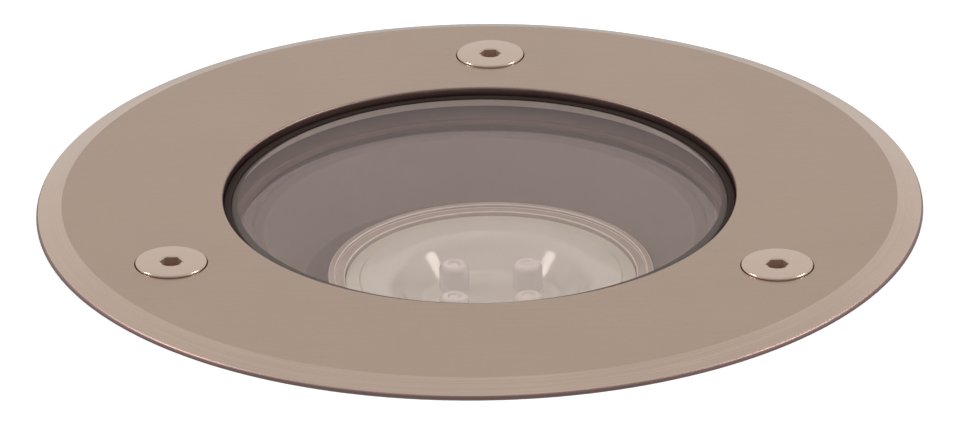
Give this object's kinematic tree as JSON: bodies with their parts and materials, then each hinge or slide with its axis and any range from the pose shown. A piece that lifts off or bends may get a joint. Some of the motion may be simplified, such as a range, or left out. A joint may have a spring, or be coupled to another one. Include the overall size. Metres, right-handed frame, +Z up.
{
  "type": "in ground well light",
  "caption": "Round recessed ground light: a bevelled steel cover ring screwed over a stepped glass and a cast pot with an upright reflector lamp, in a ground sleeve.",
  "frame": {"origin": "centre of the cover at ground level, in the plane on which the cover's rim lies and in which the sleeve ends", "axes": "+Z up out of the ground, -Y towards the side that the picture shows as the front, +X to its right"},
  "size_m": [0.135, 0.135, 0.1471],
  "materials": {
    "steel_cover": "fine straight brushing on the face, turned bevel",
    "steel_screw": "polished stainless",
    "clear_glass": "clear toughened, polished",
    "black_silicone": "matt",
    "sleeve_plastic": "moulded, lightly textured",
    "cast_pot": "die-cast aluminium with a dark grey powder coat",
    "brass": "machined",
    "spun_aluminium": "satin, spun",
    "lamp_shell": "smooth moulded",
    "clear_plastic": "clear, polished",
    "lens_plastic": "milky, polished",
    "light_board": "white solder mask",
    "light_chip": "yellow phosphor",
    "circuit_board": "green solder mask",
    "nickel_pin": "nickel plated",
    "porcelain": "unglazed",
    "zinc_steel": "zinc plated",
    "terminal_plastic": "moulded",
    "brown_insulation": "silicone sleeve",
    "blue_insulation": "silicone sleeve",
    "green_yellow_insulation": "green with a yellow stripe",
    "gland_plastic": "moulded nylon"
  },
  "bodies": {
    "sleeve": {"ground_sleeve": "sleeve_plastic"},
    "pot_unit": {"pot": "cast_pot", "thread_inserts": "brass", "reflector": "spun_aluminium", "lampholder": "porcelain", "lampholder_contacts": "brass", "lampholder_screws": "zinc_steel", "lampholder_bridge": "zinc_steel", "bridge_screws": "zinc_steel", "terminal_block": "terminal_plastic", "terminal_tubes": "brass", "terminal_screws": "zinc_steel", "terminal_block_screws": "zinc_steel", "earth_tag": "zinc_steel", "earth_screw": "brass", "live_lead": "brown_insulation", "neutral_lead": "blue_insulation", "earth_lead": "green_yellow_insulation", "gland_body": "gland_plastic", "gland_seal": "black_silicone", "gland_nut": "gland_plastic", "gland_washer": "black_silicone", "blanking_plug": "gland_plastic", "blanking_plug_washer": "black_silicone"},
    "cover": {"cover_ring": "steel_cover", "glass_lens": "clear_glass", "glass_gasket": "black_silicone"},
    "lamp": {"lamp_body": "lamp_shell", "lamp_rim": "clear_plastic", "lamp_lens": "lens_plastic", "lamp_light_board": "light_board", "lamp_light_chips": "light_chip", "lamp_driver_board": "circuit_board", "lamp_base": "lamp_shell", "lamp_pins": "nickel_pin"},
    "screw_1_washer": {"screw_washer_1": "black_silicone"},
    "screw_1": {"cover_screw_1": "steel_screw"},
    "screw_2_washer": {"screw_washer_2": "black_silicone"},
    "screw_2": {"cover_screw_2": "steel_screw"},
    "screw_3_washer": {"screw_washer_3": "black_silicone"},
    "screw_3": {"cover_screw_3": "steel_screw"}
  },
  "joints": [
    {"name": "pot_lift", "type": "slide", "parent": "sleeve", "child": "pot_unit", "axis": [0, 0, 1], "range_m": [0, 0.135]},
    {"name": "cover_lift", "type": "slide", "parent": "pot_unit", "child": "cover", "axis": [0, 0, 1], "range_m": [0, 0.06]},
    {"name": "lamp_turn", "type": "hinge", "parent": "pot_unit", "child": "lamp", "pos_m": [0.0016, 0, -0.06], "axis": [0, 0, 1], "range_deg": [0, 24]},
    {"name": "screw_1_rise", "type": "slide", "parent": "cover", "child": "screw_1_washer", "axis": [0, 0, 1], "range_m": [0, 0.0096]},
    {"name": "screw_1_turn", "type": "hinge", "parent": "screw_1_washer", "child": "screw_1", "pos_m": [0.002, 0.05196, 0], "axis": [0, 0, 1], "range_deg": [0, 4321]},
    {"name": "screw_2_rise", "type": "slide", "parent": "cover", "child": "screw_2_washer", "axis": [0, 0, 1], "range_m": [0, 0.0096]},
    {"name": "screw_2_turn", "type": "hinge", "parent": "screw_2_washer", "child": "screw_2", "pos_m": [-0.046, -0.02425, 0], "axis": [0, 0, 1], "range_deg": [0, 4321]},
    {"name": "screw_3_rise", "type": "slide", "parent": "cover", "child": "screw_3_washer", "axis": [0, 0, 1], "range_m": [0, 0.0096]},
    {"name": "screw_3_turn", "type": "hinge", "parent": "screw_3_washer", "child": "screw_3", "pos_m": [0.044, -0.02771, 0], "axis": [0, 0, 1], "range_deg": [0, 4321]}
  ],
  "couplings": [
    {"joint": "screw_1_turn", "follows": "screw_1_rise", "rad_per_m": 7854},
    {"joint": "screw_2_turn", "follows": "screw_2_rise", "rad_per_m": 7854},
    {"joint": "screw_3_turn", "follows": "screw_3_rise", "rad_per_m": 7854}
  ]
}
